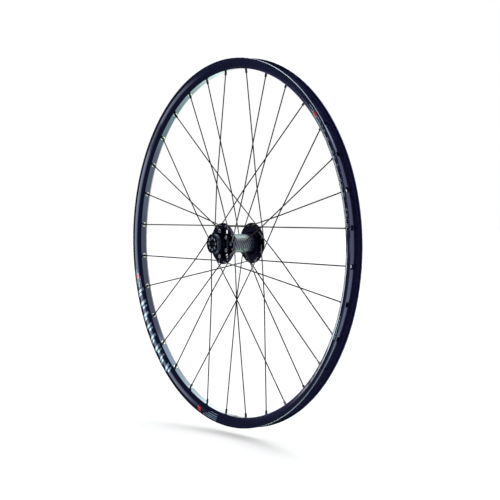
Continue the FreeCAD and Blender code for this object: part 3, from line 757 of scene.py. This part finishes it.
def wall_patch(side, start, sweep, low, high, slant):
    """A flat patch beside the rim's wall: a radial row of points spun round, its ends cut on the slant."""
    deselect()
    spare = abs(math.tan(slant)) * (high - low) / (2 * low)
    middle = (low + high) / 2
    bpy.ops.mesh.primitive_grid_add(x_subdivisions=EDGE_STEPS, y_subdivisions=1, size=1.0, location=(0, 0, 0))
    patch = bpy.context.object
    row = side * (RIM_HALF_WIDTH + PATCH_GAP)
    patch.scale = (high - low, MM, 1)
    patch.location = (middle, row, 0)
    apply_place()
    patch.rotation_euler.y = spare - start
    apply_place()
    bpy.ops.object.mode_set(mode="EDIT")
    pick(lambda place: place.y > row)
    bpy.ops.mesh.delete(type="VERT")
    bpy.ops.mesh.select_all(action="SELECT")
    turn = sweep + 2 * spare
    bpy.ops.mesh.spin(steps=max(3, round(math.degrees(turn))), angle=turn, center=(0, 0, 0), axis=SPIN)
    for angle, keep in ((start, "inner"), (start + sweep, "outer")):
        bpy.ops.mesh.select_all(action="SELECT")
        normal = Matrix.Rotation(-slant, 3, "Y") @ on_circle(1, angle + math.pi / 2)
        bpy.ops.mesh.bisect(plane_co=on_circle(middle, angle, row), plane_no=normal,
                            clear_inner=keep == "inner", clear_outer=keep == "outer")
    bpy.ops.object.mode_set(mode="OBJECT")
    return patch


def lay_on_rim(piece, side, thickness):
    """Presses a patch onto the rim's side wall and gives it its thickness."""
    wrap = piece.modifiers.new("onto rim", "SHRINKWRAP")
    wrap.target = frame["nodes"]["rim"]
    wrap.wrap_method = "PROJECT"
    wrap.use_project_x = wrap.use_project_z = False
    wrap.use_project_y = True
    wrap.use_negative_direction = side > 0
    wrap.use_positive_direction = side < 0
    wrap.offset = FILM_GAP
    shell = piece.modifiers.new("film", "SOLIDIFY")
    shell.thickness = thickness
    shell.offset = 1.0


def face_outwards(piece, side):
    """Turns a flat patch's faces towards its own side of the wheel."""
    take(piece)
    bpy.ops.object.mode_set(mode="EDIT")
    bpy.ops.mesh.select_all(action="SELECT")
    bpy.ops.mesh.normals_make_consistent(inside=False)
    mesh = bmesh.from_edit_mesh(piece.data)
    mesh.normal_update()
    tilt = sum(face.normal.y for face in mesh.faces)
    if tilt * side < 0:
        bpy.ops.mesh.flip_normals()
    bpy.ops.object.mode_set(mode="OBJECT")


def run_of(first, way, offset, sweep):
    """Where a mark starts, counted from the first end of a set that runs either way round."""
    return first + offset if way > 0 else first - offset - sweep


def stripe_bars(first, way):
    """Starts, sweeps and edges of the bars in one set: broad ones, each with a shorter, thin partner.

    The partners reach the outer edge and the inner edge in turn.
    """
    s = bpy.context.scene.wheel_stripes
    height = s.high - s.low
    for index in range(s.bars):
        offset = s.pitch * (index + BARS_FROM)
        broad = s.pitch * BROAD_SWEEPS[index % 3]
        yield run_of(first, way, offset, broad), broad, s.low, s.high
        thin = s.pitch * THIN_SWEEP
        low = s.low if index % 2 else s.high - height * THIN_REACH
        offset += broad + s.pitch * THIN_GAP
        yield run_of(first, way, offset, thin), thin, low, low + height * THIN_REACH


def pin_lines(first, way):
    """Thin lines round the wall at either end of a set, each starting a little after the one outside it."""
    s = bpy.context.scene.wheel_stripes
    last = s.pitch * (s.bars + LINES_PAST_BARS)
    for index in range(PIN_LINES):
        low = s.high - (s.high - s.low) * (PIN_HIGHEST + index / PIN_LINES)
        sweep = s.pitch * (PIN_SWEEP - PIN_SHORTER * index)
        for offset in (s.pitch * PIN_LAG_FIRST * index, last + s.pitch * PIN_LAG_LAST * index):
            yield run_of(first, way, offset, sweep), sweep, low, low + PIN_LINE_WIDTH


def accent_blocks(first, way):
    """The red blocks: one at the start of a set, and one at the end of the first set."""
    s = bpy.context.scene.wheel_stripes
    sweep = s.pitch * BLOCK_SWEEP
    low = s.low + (s.high - s.low) * BLOCK_LOW
    yield run_of(first, way, s.pitch * FIRST_BLOCK, sweep), sweep, low, s.high
    if way > 0:
        yield run_of(first, way, s.pitch * (s.bars + BLOCK_PAST_BARS), sweep), sweep, low, s.high


def add_stripes(side_name, label, colour_name, bars):
    """One kind of mark on one side of the rim, joined into one piece."""
    side = SIDES[side_name]
    s = bpy.context.scene.wheel_stripes
    patches = [wall_patch(side, *bar, s.slant) for bar in bars]
    for patch in patches:
        face_outwards(patch, side)
    piece = join(patches, f"{side_name}_rim_{label}")
    lay_on_rim(piece, side, s.thickness)
    colour = getattr(bpy.context.scene.wheel_finish, colour_name)
    finish = bpy.data.materials.get(label) or printed_film(label, colour)
    return settle(piece, finish, "wheel")


# ---- threads in the disc bolts' holes -----------------------------------------------------------------
THREAD_PITCH = 0.8 * MM
THREAD_TURNS = 7
THREAD_DEPTH = 0.4 * MM
THREAD_INSET = 0.3 * MM
STEPS_PER_TURN = 24
CORNER_DEPTH = 1.5      # a three-cornered circle of radius 1 is this deep


def thread_ridge(mouth, hole_r):
    """One hole's thread: a three-cornered loop wound up the hole, its two ends filled."""
    deselect()
    bpy.ops.mesh.primitive_circle_add(vertices=3, radius=1.0, rotation=(0, 0, math.pi / 2))
    ridge = bpy.context.object
    apply_place()
    ridge.scale = (THREAD_DEPTH / CORNER_DEPTH, THREAD_PITCH / 2, 1)
    apply_place()
    ridge.location = (THREAD_DEPTH / CORNER_DEPTH - hole_r, 0, 0)
    apply_place()
    wind = ridge.modifiers.new("wind", "SCREW")
    wind.axis = "Y"
    wind.angle = 2 * math.pi
    wind.screw_offset = THREAD_PITCH
    wind.iterations = THREAD_TURNS
    wind.steps = wind.render_steps = STEPS_PER_TURN
    wind.use_merge_vertices = False
    bpy.ops.object.modifier_apply(modifier="wind")
    bpy.ops.object.mode_set(mode="EDIT")
    bpy.ops.mesh.select_all(action="SELECT")
    bpy.ops.mesh.fill_holes(sides=3)
    bpy.ops.mesh.normals_make_consistent(inside=False)
    bpy.ops.object.mode_set(mode="OBJECT")
    ridge.location = mouth
    apply_place()
    return ridge


def add_bolt_threads():
    """The first hole's thread, copied round the bolts' circle."""
    bolts = mount("disc_bolts")
    count = bolts["dims"]["count"]
    face = bolts["pos_m"][1] + THREAD_INSET
    mouth = on_circle(bolts["dims"]["pcd_mm"] / 2 * MM, FIRST_BOLT, face)
    ridges = [thread_ridge(mouth, bolts["dims"]["hole_r_mm"] * MM)]
    for index in range(1, count):
        take(ridges[0])
        bpy.ops.object.duplicate()
        copy = bpy.context.object
        copy.rotation_euler.y = 2 * math.pi * index / count
        apply_place()
        ridges.append(copy)
    return settle(join(ridges, "disc_bolt_threads"), turned_aluminium(), "wheel")


# ---- operators ----------------------------------------------------------------------------------------
class WHEEL_OT_dress_rim(bpy.types.Operator):
    """Give the rim, its sleeve and its eyelets their finishes"""

    bl_idname = "wheel.dress_rim"
    bl_label = "Dress rim"

    def execute(self, context):
        dress_nodes({"rim_black", "sleeve_alu", "eyelet_steel"})
        return {"FINISHED"}


class WHEEL_OT_dress_spokes(bpy.types.Operator):
    """Give the spokes and nipples their finishes"""

    bl_idname = "wheel.dress_spokes"
    bl_label = "Dress spokes"

    def execute(self, context):
        dress_nodes({"spoke_steel", "nipple_brass"})
        return {"FINISHED"}


class WHEEL_OT_dress_hub(bpy.types.Operator):
    """Give the hub shell, bearings, seals, axle and end caps their finishes"""

    bl_idname = "wheel.dress_hub"
    bl_label = "Dress hub"

    def execute(self, context):
        dress_nodes({"hub_black", "cap_black", "bearing_steel", "cage_plastic", "seal_rubber", "axle_alu"})
        return {"FINISHED"}


class WHEEL_OT_add_stripes(bpy.types.Operator):
    """Add the bars, pin lines and red blocks to both side walls, in two sets on each"""

    bl_idname = "wheel.add_stripes"
    bl_label = "Add rim stripes"

    def execute(self, context):
        stripes = context.scene.wheel_stripes
        first, second = (stripes.start, 1), (stripes.start - stripes.between, -1)
        for side_name in SIDES:
            for label, colour_name, marks, sets in (
                ("pale_bars", "stripe_colour", stripe_bars, (first,)),
                # The second set's bars get a darker ink as painted shade.
                ("shaded_hatch_bars", "shaded_hatch_colour", stripe_bars, (second,)),
                ("pin_lines", "stripe_colour", pin_lines, (first, second)),
                ("accent_blocks", "accent_colour", accent_blocks, (first, second)),
            ):
                add_stripes(side_name, label, colour_name, [mark for ends in sets for mark in marks(*ends)])
        return {"FINISHED"}


class WHEEL_OT_add_threads(bpy.types.Operator):
    """Add the threads inside the disc bolts' holes"""

    bl_idname = "wheel.add_threads"
    bl_label = "Add bolt threads"

    def execute(self, context):
        add_bolt_threads()
        return {"FINISHED"}


class WHEEL_OT_set_stage(bpy.types.Operator):
    """Put the wheel on a pale floor, with soft studio light and a camera"""

    bl_idname = "wheel.set_stage"
    bl_label = "Set stage"

    def execute(self, context):
        add_floor()
        add_lights()
        add_world()
        add_camera()
        return {"FINISHED"}


# ---- stage ----------------------------------------------------------------------------------------------
FLOOR_SIZE = 30.0
FLOOR_SHADES = ((0.648, 0.625, 0.6), (0.663, 0.64, 0.615))
FLOOR_GLOWS = ((0.345, 0.342, 0.33), (0.56, 0.555, 0.545))
FLOOR_GLOW_STEP = (0.6, 4.5)
FLOOR_CLOUDS = 0.6
TOP_BOX_SIZE = 3.4
TOP_BOX_HEIGHT = 2.2
SENSOR_WIDTH = 36.0

# The studio's lights are steps on a direction's x, y or z, so their edges are sines of angles.
BACKWARDS = (0.2, 0.98)
BACK_STEP = (0.05, 0.42)
KEY_STRIP = {"rise": (-0.26, -0.12), "fall": (0.0, 0.65), "ends": (0.08, 0.55)}
EDGE_STRIP = {"rise": (-0.18, -0.1), "fall": (0.1, 0.18), "ends": (0.03, 0.15)}
STRIP_TINT_STEP = (0.0, 0.1)
BOXES_BEHIND = (0.3, 0.5)
BOXES_ACROSS = (-0.8, 0.3)
SOFT_EDGE = 0.1
HIGH_BOX_STEP = (0.2, 0.5)
LOW_BOX_STEP = (-0.4, -0.1)
LOW_BOX_ENDS = 0.4
WHITE = (1.0, 1.0, 1.0)
FRONT_TINT = (0.85, 0.85, 2.0)
HIGH_TINT = (0.86, 1.0, 0.94)
LOW_TINT = (0.72, 1.0, 0.84)


def pale_floor():
    """A pale matt floor with a glow of its own, stronger far from the wheel than round its shadow."""
    material, g, shader = new_finish("pale floor", metallic=0.0, specular=0.0)
    g.feed(shader.inputs["Base Color"], g.blend(g.noise(g.place(), FLOOR_CLOUDS, 2.0), *FLOOR_SHADES))
    shader.inputs["Roughness"].default_value = 1.0
    x, y = g.split(g.place())[:2]
    glow = g.blend(g.step(g.diagonal(x, y), *FLOOR_GLOW_STEP), *FLOOR_GLOWS)
    g.feed(shader.inputs["Emission Color"], glow)
    shader.inputs["Emission Strength"].default_value = 1.0
    return material


def add_floor():
    """A floor under the wheel that no finish mirrors."""
    deselect()
    gap = bpy.context.scene.wheel_stage.floor_gap
    bpy.ops.mesh.primitive_plane_add(size=FLOOR_SIZE, location=(0, 0, -RIM_RADIUS - gap))
    floor = bpy.context.object
    floor.name = "floor"
    apply_place()
    floor.data.materials.append(pale_floor())
    floor.visible_glossy = False


def add_lights():
    """A soft box overhead, which lights the floor round the shadow and isn't mirrored in the wheel."""
    bpy.ops.object.light_add(type="AREA", location=(0, 0, TOP_BOX_HEIGHT))
    box = bpy.context.object
    box.name = "top box"
    box.data.shape = "SQUARE"
    box.data.size = TOP_BOX_SIZE
    box.data.energy = bpy.context.scene.wheel_stage.top_power
    box.visible_glossy = False


def strip_light(g, direction, turn, rise, fall, ends):
    """1 on a low strip of the studio's wall: rise, fall and ends are sines of the angles from its middle."""
    x, y, z = direction
    across = g.minus(g.times(y, math.cos(turn)), g.times(x, math.sin(turn)))
    ahead = g.plus(g.times(x, math.cos(turn)), g.times(y, math.sin(turn)))
    strip = g.times(g.step(across, *rise), g.drop(across, *fall))
    strip = g.times(strip, g.step(ahead, 0.0, SOFT_EDGE))
    return g.times(strip, g.drop(g.math("ABSOLUTE", z), *ends))


def soft_boxes(g, direction):
    """1 on the high and on the low soft box behind the wheel, which graze the spoke bed."""
    x, y, z = direction
    behind = g.step(y, *BOXES_BEHIND)
    middle = g.band(x, *BOXES_ACROSS, SOFT_EDGE)
    high = g.times(behind, g.times(g.step(z, *HIGH_BOX_STEP), middle))
    low = g.times(behind, g.drop(z, *LOW_BOX_STEP))
    return high, g.times(low, g.lerp(middle, LOW_BOX_ENDS, 1.0))


def add_world():
    """White for the camera; round the wheel white behind, dark in front, two strips and two soft boxes."""
    stage = bpy.context.scene.wheel_stage
    world = bpy.data.worlds.new("studio")
    world.use_nodes = True
    bpy.context.scene.world = world
    g = Graph(world.node_tree)
    g.nodes.clear()
    direction = g.split(g.add("ShaderNodeTexCoord").outputs["Generated"])
    x, y = direction[:2]
    back = g.step(g.plus(g.times(x, BACKWARDS[0]), g.times(y, BACKWARDS[1])), *BACK_STEP)
    strips = g.plus(
        strip_light(g, direction, stage.key_turn, **KEY_STRIP),
        strip_light(g, direction, stage.edge_turn, **EDGE_STRIP))
    high, low = soft_boxes(g, direction)
    glow = g.lerp(back, stage.front_glow, stage.back_glow)
    for light, brightness in ((strips, stage.key_glow), (high, stage.high_glow), (low, stage.low_glow)):
        glow = g.plus(glow, g.times(light, brightness))
    seen = g.add("ShaderNodeLightPath").outputs["Is Camera Ray"]
    unseen = g.minus(1.0, seen)
    white = g.math("MAXIMUM", g.math("MAXIMUM", seen, back), g.step(strips, *STRIP_TINT_STEP))
    tint = g.blend(white, FRONT_TINT, WHITE)
    tint = g.blend(g.times(high, unseen), tint, HIGH_TINT)
    tint = g.blend(g.times(low, unseen), tint, LOW_TINT)
    shader = g.add("ShaderNodeBackground")
    g.feed(shader.inputs["Color"], tint)
    g.feed(shader.inputs["Strength"], g.lerp(seen, glow, 1.0))
    g.feed(g.add("ShaderNodeOutputWorld").inputs[0], shader.outputs[0])


def add_camera():
    """A nearly level camera on the wheel's left, turned round it towards +X."""
    stage = bpy.context.scene.wheel_stage
    level = stage.distance * math.cos(stage.elevation)
    height = stage.distance * math.sin(stage.elevation)
    place = Vector((level * math.sin(stage.azimuth), -level * math.cos(stage.azimuth), height))
    bpy.ops.object.camera_add(location=place)
    camera = bpy.context.object
    camera.data.lens = stage.lens
    camera.data.sensor_width = SENSOR_WIDTH
    camera.rotation_euler = (Vector(stage.aim) - place).to_track_quat("-Z", "Y").to_euler()
    bpy.context.scene.camera = camera
    bpy.context.scene.view_settings.view_transform = "Standard"


# ---- panel and registration --------------------------------------------------------------------------------
class WHEEL_PT_panel(bpy.types.Panel):
    """Buttons for each group of pieces, in the order that they are made"""

    bl_idname = "WHEEL_PT_panel"
    bl_label = "Wheel"
    bl_space_type = "VIEW_3D"
    bl_region_type = "UI"
    bl_category = "Wheel"

    def draw(self, context):
        layout = self.layout
        for group in (context.scene.wheel_finish, context.scene.wheel_stripes, context.scene.wheel_stage):
            box = layout.box()
            for key in group.bl_rna.properties.keys():
                if key not in {"rna_type", "name"}:
                    box.prop(group, key)
        for operator in OPERATORS:
            layout.operator(operator.bl_idname)


OPERATORS = (
    WHEEL_OT_dress_rim,
    WHEEL_OT_dress_spokes,
    WHEEL_OT_dress_hub,
    WHEEL_OT_add_stripes,
    WHEEL_OT_add_threads,
    WHEEL_OT_set_stage,
)
SETTINGS = {
    "wheel_finish": WheelFinishSettings,
    "wheel_stripes": WheelStripeSettings,
    "wheel_stage": WheelStageSettings,
}


def register():
    for name, group in SETTINGS.items():
        bpy.utils.register_class(group)
        setattr(bpy.types.Scene, name, PointerProperty(type=group))
    for cls in (*OPERATORS, WHEEL_PT_panel):
        bpy.utils.register_class(cls)


def unregister():
    for cls in reversed((*OPERATORS, WHEEL_PT_panel)):
        bpy.utils.unregister_class(cls)
    for name, group in SETTINGS.items():
        delattr(bpy.types.Scene, name)
        bpy.utils.unregister_class(group)


def main():
    register()
    bpy.ops.wheel.dress_rim()
    bpy.ops.wheel.dress_spokes()
    bpy.ops.wheel.dress_hub()
    bpy.ops.wheel.add_stripes()
    bpy.ops.wheel.add_threads()
    bpy.ops.wheel.set_stage()
    bpy.context.view_layer.update()


if __name__ == "__main__":
    main()
